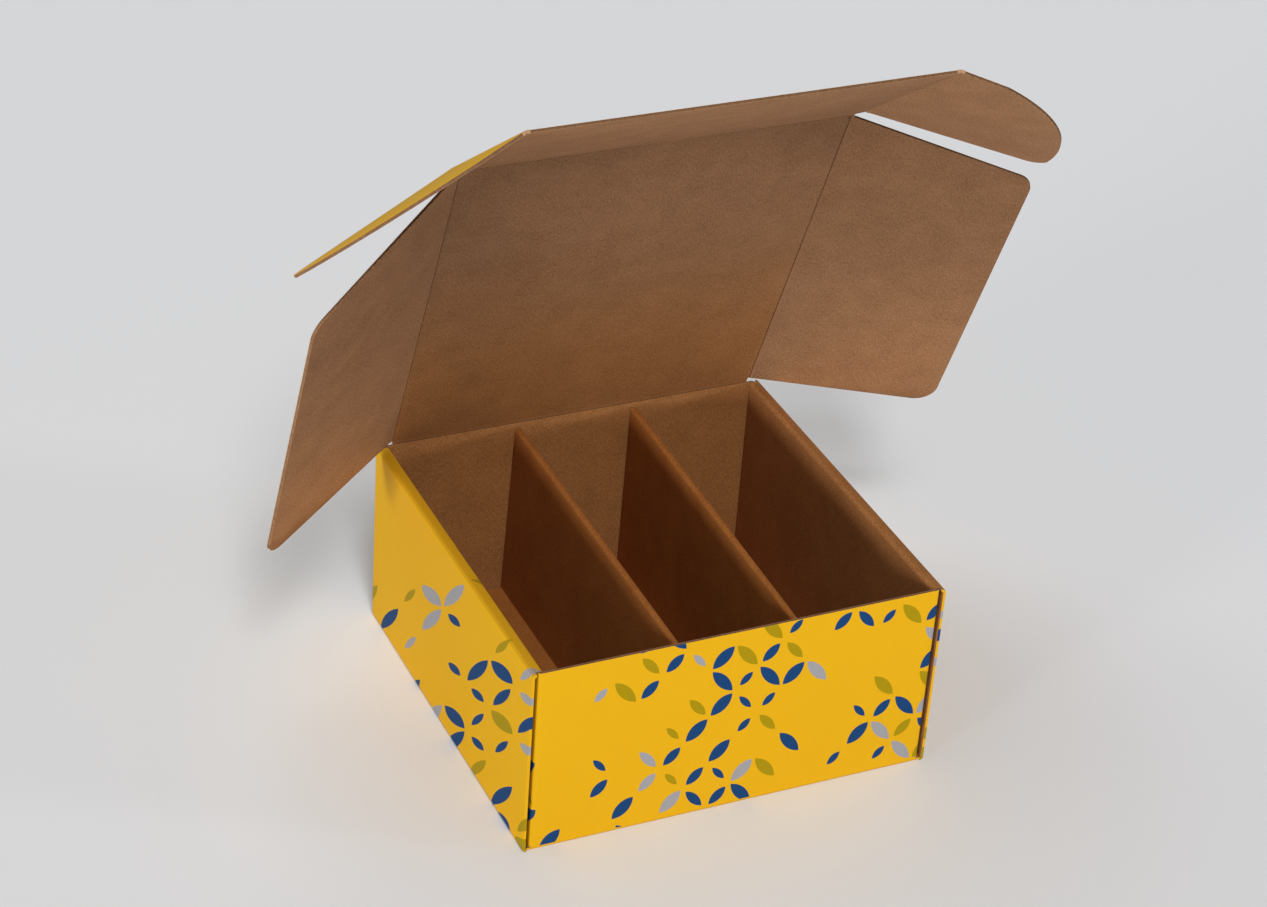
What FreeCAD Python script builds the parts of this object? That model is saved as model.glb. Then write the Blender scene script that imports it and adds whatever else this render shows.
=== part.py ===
import FreeCAD, Part
import math
import os

# Corrugated shipping box for three bottles: a roll-end tray with a hinged lid, and a divider insert.
# Origin at the middle of the underside, +X to the right, +Y to the back, +Z up, sizes in millimetres.

os.makedirs("parts", exist_ok=True)
V = FreeCAD.Vector

# Board, and how tightly it folds
board = 2.4
fold_inner = 0.6
roll_inner = 1.2

# Clearances: a cut edge from what it faces, two layers in one wall, and a crease that turns
edge_gap = 0.3
layer_gap = 0.2
crease_gap = 0.15

# Tray, outside
width = 330.0
depth = 316.0
height = 158.0

# Side walls: pocket for the ears, corner flaps and locking tabs
ear_pocket = 2.6
corner_flap = 70.0
corner_flap_drop = 4.5
tab_length = 40.0
tab_spacing = 160.0

# Lid: how far its front crease stands out past the front wall, and its angle from closed
lid_overhang = 3.5
lid_open = 67.9

# Dust flaps: clearances when folded into the tray, cut edges and fold angles
flap_side_gap = 0.2
flap_floor_gap = 0.9
flap_start = 5.5
flap_end_gap = 0.4
flap_taper = 41.0
flap_low_radius = 18.0
flap_high_radius = 15.0
left_flap_fold = 33.6
right_flap_fold = 20.5

# Tuck flap: height above the floor when closed, shoulder below its crease and fold angle
tuck_floor_gap = 0.7
tuck_shoulder = 7.0
tuck_fold = 32.6

# Ears: outline away from the crease, and fold angle
ear_step = 0.5
ear_reach = 145.0
ear_rise = 7.0
ear_bulge_out = 117.0
ear_bulge_down = 92.0
ear_shoulder_out = 40.0
ear_shoulder_rise = 4.0
ear_tip_radius = 12.0
ear_fold = 24.0

# Divider insert: height below the rim, end clearances, spread feet and leaning tops of its walls
insert_drop = 2.6
insert_side_gap = 0.8
insert_end_gap = 1.3
ply_gap = 0.4
foot_gap = 3.2
left_wall_foot = -52.0
left_wall_back_top = -47.6
left_wall_front_top = -51.2
right_wall_foot = 51.0
right_wall_back_top = 51.8
right_wall_front_top = 43.6

# Places that follow from the sizes above
fold_outer = fold_inner + board
roll_outer = roll_inner + board
side = width / 2
end = depth / 2
pocket_x = side - board - ear_pocket
corner_flap_in = pocket_x - board
inner_panel_out = corner_flap_in - layer_gap
inner_panel_in = inner_panel_out - board
end_in = end - board
rim_end = end - fold_outer - edge_gap
floor_top = 2 * board
crease_r = board / 2
crease_edge = crease_r + crease_gap
hinge_y = end - crease_r
hinge_z = height + crease_r
lid_length = depth + lid_overhang
lid_crease_x = inner_panel_in - flap_side_gap - crease_r
ear_crease_x = side - board - ear_pocket / 2
flap_width = hinge_z - floor_top - flap_floor_gap
flap_end = lid_length - crease_r - flap_end_gap
tuck_height = hinge_z - tuck_floor_gap


def arc(cx, cy, r, first, last):
    """Middle and end of an arc about (cx, cy) from angle first to angle last, in degrees."""
    half = math.radians((first + last) / 2)
    stop = math.radians(last)
    middle = (cx + r * math.cos(half), cy + r * math.sin(half))
    return middle, (cx + r * math.cos(stop), cy + r * math.sin(stop))


def loop(steps, place):
    """Closed wire through flat points, where a pair of points is the middle and end of an arc."""
    edges = []
    here = place(*steps[0])
    for step in steps[1:] + steps[:1]:
        if isinstance(step[0], tuple):
            there = place(*step[1])
            edges.append(Part.Arc(here, place(*step[0]), there).toShape())
        else:
            there = place(*step)
            edges.append(Part.LineSegment(here, there).toShape())
        here = there
    return Part.Wire(edges)


def prism(steps, place, run):
    """Solid from a flat outline moved along run."""
    return Part.Face(loop(steps, place)).extrude(run)


def box(low, high):
    """Box between two corners."""
    return Part.makeBox(high[0] - low[0], high[1] - low[1], high[2] - low[2], V(*low))


def both_sides(shape):
    """A shape on the right with its mirror image on the left."""
    return [shape, shape.mirror(V(0, 0, 0), V(1, 0, 0))]


def one(shapes):
    """All shapes joined into one solid with its faces merged."""
    return shapes[0].fuse(shapes[1:]).removeSplitter()


def panel(steps, crease_from, crease_to, along):
    """Flat panel at mid thickness z = 0, with a half-round edge on the crease it turns about."""
    sheet = prism(steps, lambda x, y: V(x, y, -crease_r), V(0, 0, board))
    axis = V(1, 0, 0) if along == "x" else V(0, 1, 0)
    start = axis * crease_from
    edge = Part.makeCylinder(crease_r, crease_to - crease_from, start, axis)
    return one([sheet, edge])


def rounded(shape, corners):
    """Rounds the through-thickness edges that stand at the given (x, y, radius) corners."""
    for x, y, radius in corners:
        near = []
        for edge in shape.Edges:
            a, b = edge.Vertexes[0].Point, edge.Vertexes[-1].Point
            if math.hypot(a.x - x, a.y - y) < 0.01 and math.hypot(b.x - x, b.y - y) < 0.01:
                near.append(edge)
        shape = shape.makeFillet(radius, near)
    return shape


def moved(shape, base, axis, angle):
    """A copy turned about an axis through its own origin and set down at base."""
    copy = shape.copy()
    placement = FreeCAD.Placement(V(*base), FreeCAD.Rotation(V(*axis), angle))
    copy.transformShape(placement.toMatrix())
    return copy


# Tray: base with the two lines of slots that take the locking tabs
tab_ys = [-tab_spacing / 2, tab_spacing / 2]
base = box((fold_outer - side, fold_outer - end, 0), (side - fold_outer, end - fold_outer, board))
for y in tab_ys:
    reach = tab_length / 2 + edge_gap
    slot = box((inner_panel_in - edge_gap, y - reach, -1), (inner_panel_out + edge_gap, y + reach, board + 1))
    base = base.cut(both_sides(slot))

# Side wall: base fold, outer panel and the outer bend of the rolled rim, over the full depth
bend_x = side - roll_outer
bend_z = height - roll_outer
foot_x = side - fold_outer
outer_panel = prism(
    [(foot_x, 0), arc(foot_x, fold_outer, fold_outer, -90, 0), (side, bend_z),
     arc(bend_x, bend_z, roll_outer, 0, 90), (bend_x, height - board),
     arc(bend_x, bend_z, roll_inner, 90, 0), (side - board, fold_outer),
     arc(foot_x, fold_outer, fold_inner, 0, -90)],
    lambda x, z: V(x, -end, z), V(0, depth, 0))

# Side wall: top of the rim, its inner bend and the inner panel with its locking tabs
inner_bend_x = inner_panel_in + roll_outer
inner_panel = prism(
    [(bend_x, height), (inner_bend_x, height), arc(inner_bend_x, bend_z, roll_outer, 90, 180),
     (inner_panel_in, board + edge_gap), (inner_panel_out, board + edge_gap), (inner_panel_out, bend_z),
     arc(inner_bend_x, bend_z, roll_inner, 180, 90), (bend_x, height - board)],
    lambda x, z: V(x, -rim_end, z), V(0, 2 * rim_end, 0))
tabs = [box((inner_panel_in, y - tab_length / 2, edge_gap),
            (inner_panel_out, y + tab_length / 2, board + 2 * edge_gap)) for y in tab_ys]


def end_wall(top):
    """Front wall up to top, with its base fold and a corner flap turned back at each end."""
    centre_x = pocket_x - fold_outer
    centre_y = fold_outer - end
    fold = prism(
        [(centre_y, 0), arc(centre_y, fold_outer, fold_outer, 270, 180), (-end_in, fold_outer),
         arc(centre_y, fold_outer, fold_inner, 180, 270)],
        lambda y, z: V(-foot_x, y, z), V(2 * foot_x, 0, 0))
    wall = prism(
        [(-pocket_x, centre_y), arc(-centre_x, centre_y, fold_outer, 180, 270), (centre_x, -end),
         arc(centre_x, centre_y, fold_outer, 270, 360), (corner_flap_in, centre_y),
         arc(centre_x, centre_y, fold_inner, 360, 270), (-centre_x, -end_in),
         arc(-centre_x, centre_y, fold_inner, 270, 180)],
        lambda x, y: V(x, y, fold_outer), V(0, 0, top - fold_outer))
    flap = box((corner_flap_in, centre_y, fold_outer + edge_gap),
               (pocket_x, corner_flap - end, height - corner_flap_drop))
    return [fold, wall] + both_sides(flap)


front_wall = end_wall(height)
back_wall = [piece.mirror(V(0, 0, 0), V(0, 1, 0)) for piece in end_wall(hinge_z - crease_edge)]
side_walls = both_sides(outer_panel) + both_sides(inner_panel)
for tab in tabs:
    side_walls += both_sides(tab)
tray = one([base] + front_wall + back_wall + side_walls)

# Lid, about its own hinge: y runs from the hinge to the tuck crease, +z is the bare inside
lid_half = lid_crease_x - crease_edge
lid_end = lid_length - crease_edge
lid = panel([(-lid_half, 0), (lid_half, 0), (lid_half, lid_end), (-lid_half, lid_end)], -lid_half, lid_half, "x")

# Dust flap, about its own crease: x runs outward, y along the crease from the lid's hinge
flap_far = flap_end - flap_taper
dust_flap = panel(
    [(0, flap_start), (flap_width, flap_start), (flap_width, flap_far), (0, flap_end)],
    flap_start, flap_end, "y")
dust_flap = rounded(dust_flap, [(flap_width, flap_start, flap_low_radius), (flap_width, flap_far, flap_high_radius)])

# Tuck flap, about its own crease: y runs down to its free edge
tuck_half = ear_crease_x - crease_edge
tuck_flap = panel(
    [(-lid_half, 0), (lid_half, 0), (tuck_half, tuck_shoulder), (tuck_half, tuck_height),
     (-tuck_half, tuck_height), (-tuck_half, tuck_shoulder)],
    -lid_half, lid_half, "x")

# Ear, about its own crease: x runs outward, y down the tuck flap, with one long rounded edge
ear_top = tuck_shoulder + ear_step
ear_tip = (ear_reach, ear_top + ear_rise)
ear_shoulder = (ear_shoulder_out, tuck_height - ear_shoulder_rise)
ear = panel(
    [(0, ear_top), ear_tip, ((ear_bulge_out, ear_bulge_down), ear_shoulder), (0, tuck_height)],
    ear_top, tuck_height, "y")
ear = rounded(ear, [ear_tip + (ear_tip_radius,)])

# Each fold at its angle, from the ears inwards to the lid
right_ear = moved(ear, (ear_crease_x, 0, 0), (0, -1, 0), ear_fold)
left_ear = right_ear.mirror(V(0, 0, 0), V(1, 0, 0))
left_flap = moved(dust_flap, (lid_crease_x, 0, 0), (0, -1, 0), left_flap_fold).mirror(V(0, 0, 0), V(1, 0, 0))
right_flap = moved(dust_flap, (lid_crease_x, 0, 0), (0, -1, 0), right_flap_fold)
tucked = [moved(piece, (0, lid_length, 0), (1, 0, 0), tuck_fold) for piece in (tuck_flap, left_ear, right_ear)]
lid_parts = [moved(piece, (0, hinge_y, hinge_z), (1, 0, 0), 180 - lid_open)
             for piece in [lid, left_flap, right_flap] + tucked]

# Divider insert: one sheet across the floor with two doubled walls, drawn at its front and back ends
insert_x = inner_panel_in - insert_side_gap
insert_y = end_in - insert_end_gap
top_r = board + ply_gap / 2
wall_top = height - insert_drop - top_r
turn_z = board + fold_outer


def under_wall(foot, top):
    """The sheet's underside through one wall, from left to right."""
    left = foot - foot_gap / 2
    right = foot + foot_gap / 2
    return [(left - fold_outer, board), arc(left - fold_outer, turn_z, fold_outer, -90, 0),
            (top - ply_gap / 2, wall_top), arc(top, wall_top, ply_gap / 2, 180, 0),
            (right, turn_z), arc(right + fold_outer, turn_z, fold_outer, 180, 270)]


def over_wall(foot, top):
    """The sheet's upper side over one wall, from right to left."""
    left = foot - foot_gap / 2 - fold_outer
    right = foot + foot_gap / 2 + fold_outer
    return [(right, floor_top), arc(right, turn_z, fold_inner, 270, 180), (top + top_r, wall_top),
            arc(top, wall_top, top_r, 0, 180), (left + fold_inner, turn_z),
            arc(left, turn_z, fold_inner, 0, -90)]


def insert_section(left_top, right_top, y):
    """Closed outline of the folded sheet where its two walls have their tops at the given places."""
    steps = [(-insert_x, board)] + under_wall(left_wall_foot, left_top) + under_wall(right_wall_foot, right_top)
    steps += [(insert_x, board), (insert_x, floor_top)]
    steps += over_wall(right_wall_foot, right_top) + over_wall(left_wall_foot, left_top)
    steps += [(-insert_x, floor_top)]
    return loop(steps, lambda x, z: V(x, y, z))


front_section = insert_section(left_wall_front_top, right_wall_front_top, -insert_y)
back_section = insert_section(left_wall_back_top, right_wall_back_top, insert_y)
divider_insert = Part.makeLoft([front_section, back_section], True, True)

names = ["lid", "left_dust_flap", "right_dust_flap", "tuck_flap", "left_ear", "right_ear"]
pieces = {"tray": tray, "divider_insert": divider_insert}
pieces.update(zip(names, lid_parts))
for name, shape in pieces.items():
    solid = shape.Solids[0]
    print(name, len(shape.Solids), shape.isValid(), round(solid.Volume, 1))
    solid.exportStep("parts/" + name + ".step")
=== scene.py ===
import math

import bmesh
import bpy
from mathutils import Matrix, Vector


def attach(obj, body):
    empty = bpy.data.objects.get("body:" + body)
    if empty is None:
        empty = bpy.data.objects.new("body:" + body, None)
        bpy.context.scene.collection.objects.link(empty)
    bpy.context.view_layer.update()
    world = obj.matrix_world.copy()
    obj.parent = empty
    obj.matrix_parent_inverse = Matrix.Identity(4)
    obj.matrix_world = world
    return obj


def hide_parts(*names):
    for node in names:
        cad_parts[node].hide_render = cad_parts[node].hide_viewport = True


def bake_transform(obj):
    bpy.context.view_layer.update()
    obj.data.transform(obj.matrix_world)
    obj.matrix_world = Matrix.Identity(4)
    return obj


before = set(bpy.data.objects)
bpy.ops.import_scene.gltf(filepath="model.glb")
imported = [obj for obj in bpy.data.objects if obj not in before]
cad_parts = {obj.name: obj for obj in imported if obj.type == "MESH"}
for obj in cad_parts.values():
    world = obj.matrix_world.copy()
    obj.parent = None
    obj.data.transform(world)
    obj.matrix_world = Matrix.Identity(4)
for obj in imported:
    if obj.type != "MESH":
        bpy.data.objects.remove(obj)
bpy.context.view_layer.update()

# One millimetre in metres
MM = 0.001

# Sizes of the box in millimetres, as in the solid model
WIDTH, DEPTH, HEIGHT = 330.0, 316.0, 158.0
BOARD = 2.4
HALF = BOARD / 2
FOLD_OUT = 3.0
FOLD_MID = 1.8
ROLL_OUT = 3.6
ROLL_MID = 2.4
RIM_END = 154.7
POCKET_X = 160.0
INNER_X = 155.0
CORNER_FLAP = 70.0
CORNER_FLAP_TOP = 153.5
TAB_YS = (-80.0, 80.0)
TAB_LENGTH = 40.0
EDGE_GAP = 0.3
HINGE = (156.8, 159.2)
LID_LENGTH = 319.5
LID_CREASE = 153.6
EAR_CREASE = 161.3
CREASE_EDGE = 1.35
LID_OPEN = 67.9
LEFT_FLAP, RIGHT_FLAP, TUCK, EAR = 33.6, 20.5, 32.6, 24.0
FLAP_START, FLAP_END, FLAP_FAR, FLAP_WIDTH = 5.5, 317.9, 276.9, 153.5
TUCK_HEIGHT, TUCK_SHOULDER = 158.5, 7.0
EAR_TOP = 7.5
FLAP_NEAR_CORNER, FLAP_FAR_CORNER = 18.0, 15.0
EAR_TIP, EAR_BULGE, EAR_SHOULDER = (145.0, 14.5), (117.0, 92.0), (40.0, 154.5)
EAR_TIP_RADIUS = 12.0

# The board's own make-up: liners, fluted paper and how the cut edges are pressed in
LINER = 0.3
PAPER = 0.3
CORE_INSET = 1.0
FLUTE_PITCH = 6.5
FLUTE_INSET = 0.12
FLUTE_OVERLAP = 0.1
STEP = FLUTE_PITCH / 10
EDGE_BAND = 0.8
EDGE_PRESS = 0.16

# Least length taken for a line across the board, so that no share of it is endless
SHORTEST = 0.01

# Edges sharper than these angles, in degrees, are drawn sharp
BOARD_SHARP, CREASE_SHARP, FLUTE_SHARP = 35.0, 60.0, 50

# Creases that turn: how far the strip reaches and lies proud, its steps, its groove and the width of the
# groove's middle painted darker as painted shade, where its bend starts and ends, and where the panels beside
# it start
CREASE_REACH = 3.0
CREASE_LAY = 0.04
CREASE_STEPS = (14, 6, 14)
GROOVE_DEPTH, GROOVE_WIDTH, GROOVE_SHADE = 0.5, 0.5, 0.9
BEND_REACH = 1.2
PANEL_START = 1.4

# Where each panel starts on the flat blank
FOLD_RUN = FOLD_MID * math.pi / 2
WALL_START = DEPTH / 2 - FOLD_OUT + FOLD_RUN - FOLD_OUT
LID_START = WALL_START + HINGE[1]
TUCK_START = LID_START + LID_LENGTH


# Paper, in metres: scales of its patterns, their heights in the bump and their weights in the tone
FIBRE_SCALE, SPECK_SCALE, CLOUD_SCALE, SAG_SCALE = (1100.0, 380.0, 1.0), 1500.0, 42.0, 6.0
FIBRE_HEIGHT, CLOUD_HEIGHT, SAG_HEIGHT, FLUTE_HEIGHT = 0.00002, 0.00002, 0.0025, 0.000004
FIBRE_TONE, CLOUD_TONE, FLUTE_TONE = 3.2, 0.6, 0.012

# How rough and shiny the paper is: rougher where a fibre is light
ROUGH_SPREAD, KRAFT_ROUGH, PRINT_ROUGH, KRAFT_SHINE, PRINT_SHINE = 0.14, 0.8, 0.58, 0.2, 0.1

# Number of the coordinate node's output that gives a piece's own coordinates
OWN_PLACE = 3

# Painted shade on the bare kraft: the tray's inside and the lid by its hinge are darkened warm as painted
# shade and bounce light, the far half of the lid and flaps is darkened grey as a painted shadow band
WARM_SHADE, DULL_SHADE, PLAIN = (0.83, 0.69, 0.44), (0.62, 0.6, 0.58), (0.88, 0.87, 0.84)
SHADE_START, SHADE_FULL, FLAP_FROM = 0.34, 0.56, 0.1537

# Inks, and the share of kraft that shows through the thin print over the left rim
YELLOW, DEEP_YELLOW, BLUE, OLIVE, GREY = "E9B212", "E1A80D", "154274", "A98E04", "A09FA3"
RIM_KRAFT, RIM_SHARE = "A87A2C", 0.3

# How each panel lies on the leaf grid: columns per mm, rows per mm and shift, from its place on the blank
ART = {
    "bare": ((0.0, 0.0), (0.0, 0.0), (200.5, 0.5)),
    "front": ((0.05204, -0.00213), (-0.0054, 0.04766), (9.67, 17.38)),
    "back": ((0.05204, 0.00213), (-0.0054, -0.04766), (25.67, 17.38)),
    "left": ((-0.00213, -0.02128), (0.0451, -0.02962), (43.655, 19.31)),
    "right": ((0.00213, -0.02128), (-0.0451, -0.02962), (43.655, 19.31)),
}

# The leaf grid: patches without leaves (after a column, before a column, below a row), where the side walls
# start and all leaves stop, how likely a leaf is, and how that share drifts over the grid
NO_LEAVES = ((39.5, 44.5, 5.5), (-1.0, 3.5, 5.5))
SIDE_COLUMN, LAST_COLUMN = 39.5, 80.0
LEAF_SHARE, SIDE_EXTRA, SHARE_DRIFT = 0.54, 0.16, 2.6
DRIFT_SCALE, DRIFT_START = 0.23, (3.3, 7.7)

# One leaf: lengths in cells and the throws above which the next one is used, slimness, the throws of the
# inks, and how sharp its edge is
LEAF_SIZES, SIZE_THROWS = (0.54, 0.72, 0.89), (0.28, 0.55)
LEAF_SLIM = 0.41
INK_THROWS = (0.56, 0.8)
LEAF_EDGE = 55.0
LEAF_SEED = 17.0


def colour(code):
    """Linear colour from a six-digit sRGB code."""
    parts = [int(code[i:i + 2], 16) / 255 for i in (0, 2, 4)]
    return (*(c / 12.92 if c <= 0.04045 else ((c + 0.055) / 1.055) ** 2.4 for c in parts), 1.0)


# Material graphs

class Value:
    """A number from a node, so that shader maths reads as an expression."""

    def __init__(self, graph, socket):
        self.graph, self.socket = graph, socket

    def math(self, operation, *others):
        return self.graph.node("Math", {"operation": operation}, dict(enumerate((self,) + others)))

    def __add__(self, other):
        return self.math("ADD", other)

    def __sub__(self, other):
        return self.math("SUBTRACT", other)

    def __mul__(self, other):
        return self.math("MULTIPLY", other)

    def __lt__(self, other):
        return self.math("LESS_THAN", other)

    def __gt__(self, other):
        return self.math("GREATER_THAN", other)

    def __rsub__(self, other):
        return self.graph.node("Math", {"operation": "SUBTRACT"}, {0: other, 1: self})


class Graph:
    """Nodes of one material, or of one tree of geometry, made by one call each."""

    def __init__(self, tree, prefix):
        self.tree, self.prefix = tree, prefix

    def node(self, kind, settings=None, values=None, out=0):
        made = self.tree.nodes.new(self.prefix + kind)
        for key, setting in (settings or {}).items():
            if key == "stops":
                ramp = made.color_ramp
                while len(ramp.elements) < len(setting):
                    ramp.elements.new(1.0)
                for element, (place, tone) in zip(ramp.elements, setting):
                    element.position, element.color = place, tone
            else:
                setattr(made, key, setting)
        for key, value in (values or {}).items():
            self.join(made.inputs[key], value)
        return Value(self, made.outputs[out]) if made.outputs else made

    def parts(self, value, kind="SeparateXYZ"):
        """First numbers of a vector (two), or of a colour (three)."""
        first = self.node(kind, None, {0: value})
        outputs = first.socket.node.outputs
        return tuple(Value(self, outputs[i]) for i in range(3 if kind == "SeparateColor" else 2))

    def join(self, socket, value):
        if isinstance(value, Value):
            self.tree.links.new(value.socket, socket)
        else:
            socket.default_value = value

    def mix(self, factor, first, second):
        """Colour between first and second."""
        return self.node("Mix", {"data_type": "RGBA"}, {0: factor, 6: first, 7: second}, out=2)

    def vector(self, operation, first, second):
        return self.node("VectorMath", {"operation": operation}, {0: first, 1: second})

    def noise(self, place, scale, detail, roughness=0.5):
        return self.node("TexNoise", None, {
            "Vector": place, "Scale": scale, "Detail": detail, "Roughness": roughness})


def new_finish(name):
    """A new material with an empty graph."""
    material = bpy.data.materials.new(name)
    material.use_nodes = True
    material.node_tree.nodes.clear()
    return material, Graph(material.node_tree, "ShaderNode")


def close(graph, base, roughness, bump, specular):
    """Surface and output nodes from the graph's results."""
    surface = graph.node("BsdfPrincipled", None, {
        "Base Color": base, "Roughness": roughness, "Normal": bump, "Coat Weight": 0.0,
        "Specular IOR Level": specular})
    graph.node("OutputMaterial", None, {"Surface": surface})


def paper_grain(graph, ridge):
    """Fibre tone, cloudy tone, wave of the flutes and bump of paper, on the blank's own coordinates."""
    blank = graph.node("UVMap", {"uv_map": "blank"})
    place = graph.node("TexCoord", None, None, out=OWN_PLACE)
    across, _ = graph.parts(blank)
    strands = graph.noise(graph.vector("MULTIPLY", blank, FIBRE_SCALE), 1.0, 2.0, 0.6)
    specks = graph.noise(place, SPECK_SCALE, 2.0, 0.7)
    clouds = graph.noise(place, CLOUD_SCALE, 5.0, 0.6)
    sag = graph.noise(place, SAG_SCALE, 1.0, 0.4)
    wave = (across * (2 * math.pi / (FLUTE_PITCH / 1000))).math("COSINE")
    tone = strands * 0.5 + specks * 0.5
    height = tone * FIBRE_HEIGHT + wave * ridge + sag * SAG_HEIGHT + clouds * CLOUD_HEIGHT
    bump = graph.node("Bump", None, {"Strength": 1.0, "Distance": 1.0, "Height": height})
    return tone, clouds, wave, bump


def kraft_painted_shade(graph):
    """Painted shade on the bare side by its place on the blank: warm by the hinge and in the tray, grey over
    the far lid and flaps.
    """
    warm_shade, dull_shade, plain = ((*painted_tone, 1.0) for painted_tone in (WARM_SHADE, DULL_SHADE, PLAIN))
    across, up = graph.parts(graph.node("UVMap", {"uv_map": "blank"}))
    far = graph.node("MapRange", {"interpolation_type": "SMOOTHSTEP"}, {
        0: up, 1: SHADE_START, 2: SHADE_FULL, 3: 0.0, 4: 1.0})
    flap = across.math("ABSOLUTE") > FLAP_FROM
    painted_tone = graph.mix(far, graph.mix(flap * (up > LID_START / 1000), warm_shade, plain), dull_shade)
    return graph.mix(up > TUCK_START / 1000, painted_tone, plain)


def kraft(name, dark, light, ridge=0.0, painted_shade=False):
    """Brown paper with fibres, specks and the faint ridges of the flutes, plain or with painted shade by
    place.
    """
    material, graph = new_finish(name)
    tone, clouds, wave, bump = paper_grain(graph, ridge)
    shade = (tone - 0.5) * FIBRE_TONE + (clouds - 0.5) * CLOUD_TONE + 0.5 + wave * FLUTE_TONE
    base = graph.node("ValToRGB", {"stops": [(0.0, colour(dark)), (1.0, colour(light))]}, {"Fac": shade})
    # painted shade multiplied into the kraft by its place on the blank
    if painted_shade:
        base = graph.node("Mix", {"data_type": "RGBA", "blend_type": "MULTIPLY"}, {
            0: 1.0, 6: base, 7: kraft_painted_shade(graph)}, out=2)
    close(graph, base, tone * ROUGH_SPREAD + KRAFT_ROUGH, bump, KRAFT_SHINE)
    return material


def leaf_chance(graph, cell, column, row, chance):
    """One where the cell has a leaf and zero where it has none."""
    shifted = graph.vector("ADD", graph.vector("MULTIPLY", cell, (DRIFT_SCALE, DRIFT_SCALE, 0.0)),
                           (*DRIFT_START, LEAF_SEED))
    drift = graph.noise(shifted, 1.0, 1.0)
    share = (drift - 0.5) * SHARE_DRIFT + (column > SIDE_COLUMN) * SIDE_EXTRA + LEAF_SHARE
    here = (chance < share) * (column < LAST_COLUMN)
    for first, last, top in NO_LEAVES:
        here = here * (1.0 - (column > first) * (column < last) * (row < top))
    return here


def printed(name, rim_share=0.0):
    """Printed liner: yellow ink with a scatter of leaves that pair up into four-leaved flowers."""
    material, graph = new_finish(name)
    tone, clouds, _, bump = paper_grain(graph, FLUTE_HEIGHT)
    art = graph.node("UVMap", {"uv_map": "leaves"})
    cell = graph.node("VectorMath", {"operation": "FLOOR"}, {0: art})
    x, y = graph.parts(graph.vector("SUBTRACT", art, cell))
    column, row = graph.parts(cell)
    x, y = x - 0.5, y - 0.5
    # Leaves lean one way and the other in turn, so that four neighbours make a flower
    turn = (column + row).math("FLOORED_MODULO", 2.0) * 2.0 - 1.0
    run = (x + y * turn) * math.sqrt(0.5)
    rise = (x - y * turn) * math.sqrt(0.5)
    dice = graph.node("TexWhiteNoise", {"noise_dimensions": "3D"}, {
        "Vector": graph.vector("ADD", cell, (0.5, 0.5, LEAF_SEED))}, out=1)
    chance, size_throw, ink_throw = graph.parts(dice, "SeparateColor")
    here = leaf_chance(graph, cell, column, row, chance)
    length = (size_throw > SIZE_THROWS[0]) * (LEAF_SIZES[1] - LEAF_SIZES[0]) + LEAF_SIZES[0]
    length = length + (size_throw > SIZE_THROWS[1]) * (LEAF_SIZES[2] - LEAF_SIZES[1])
    # A leaf is where two equal circles overlap: half its length, and their radius in half lengths
    half = length * math.sqrt(0.5)
    spread = (1 + LEAF_SLIM ** 2) / (2 * LEAF_SLIM)
    away = rise.math("ABSOLUTE") + half * (spread - LEAF_SLIM)
    reach = (run * run + away * away).math("SQRT")
    inside = ((half * spread - reach) * LEAF_EDGE).math("MINIMUM", 1.0).math("MAXIMUM", 0.0)
    ink = graph.mix(ink_throw > INK_THROWS[0], colour(BLUE), colour(OLIVE))
    ink = graph.mix(ink_throw > INK_THROWS[1], ink, colour(GREY))
    ground = graph.mix(clouds * 0.35 + tone * 0.25, colour(YELLOW), colour(DEEP_YELLOW))
    base = graph.mix(inside * here, ground, ink)
    if rim_share:
        base = graph.mix((tone - 0.5) * 0.4 + rim_share, base, colour(RIM_KRAFT))
    close(graph, base, tone * ROUGH_SPREAD + PRINT_ROUGH, bump, PRINT_SHINE)
    return material


FINISHES = {
    "print": printed("yellow_leaf_print"),
    "rim_print": printed("thin_print_over_rim", RIM_SHARE),
    # The bare kraft carries painted shade by its place on the blank
    "kraft": kraft("bare_kraft_liner_painted_shade", "8D6241", "C7966E", FLUTE_HEIGHT, painted_shade=True),
    # Dark kraft for the middle of the crease grooves: painted shade
    "crease": kraft("crease_painted_shade", "4E331D", "684830"),
    "insert": kraft("insert_kraft_liner", "82491D", "B17134", FLUTE_HEIGHT),
    # Lighter kraft of the insert's floor and folded tops: painted light and a painted highlight
    "fold": kraft("insert_kraft_painted_light", "7C5434", "AC7C54"),
    "cut": kraft("cut_paper_edge", "9A7352", "CDA27C"),
    "flute": kraft("fluted_paper", "7E5A3C", "A67E5C"),
}


# Card under construction

class Column:
    """A line across the board, with the way to its printed side and its place on the blank."""

    def __init__(self, low, high, out, along, spot_low, spot_high, ink="print", out_high=None):
        self.ends = (Vector(low), Vector(high))
        self.outs = (Vector(out), Vector(out_high or out))
        self.along, self.ink, self.art = along, ink, "bare"
        self.spots = (Vector(spot_low), Vector(spot_high))

    def at(self, t, lift):
        """Point and place on the blank at share t of the column, lifted towards the printed side."""
        out = self.outs[0].lerp(self.outs[1], t).normalized()
        return self.ends[0].lerp(self.ends[1], t) + out * lift, self.spots[0].lerp(self.spots[1], t)

    def share(self, distance, most):
        """The distance as a share of the column's length, and at most the given share."""
        return min(distance / max((self.ends[1] - self.ends[0]).length, SHORTEST), most)


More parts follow.
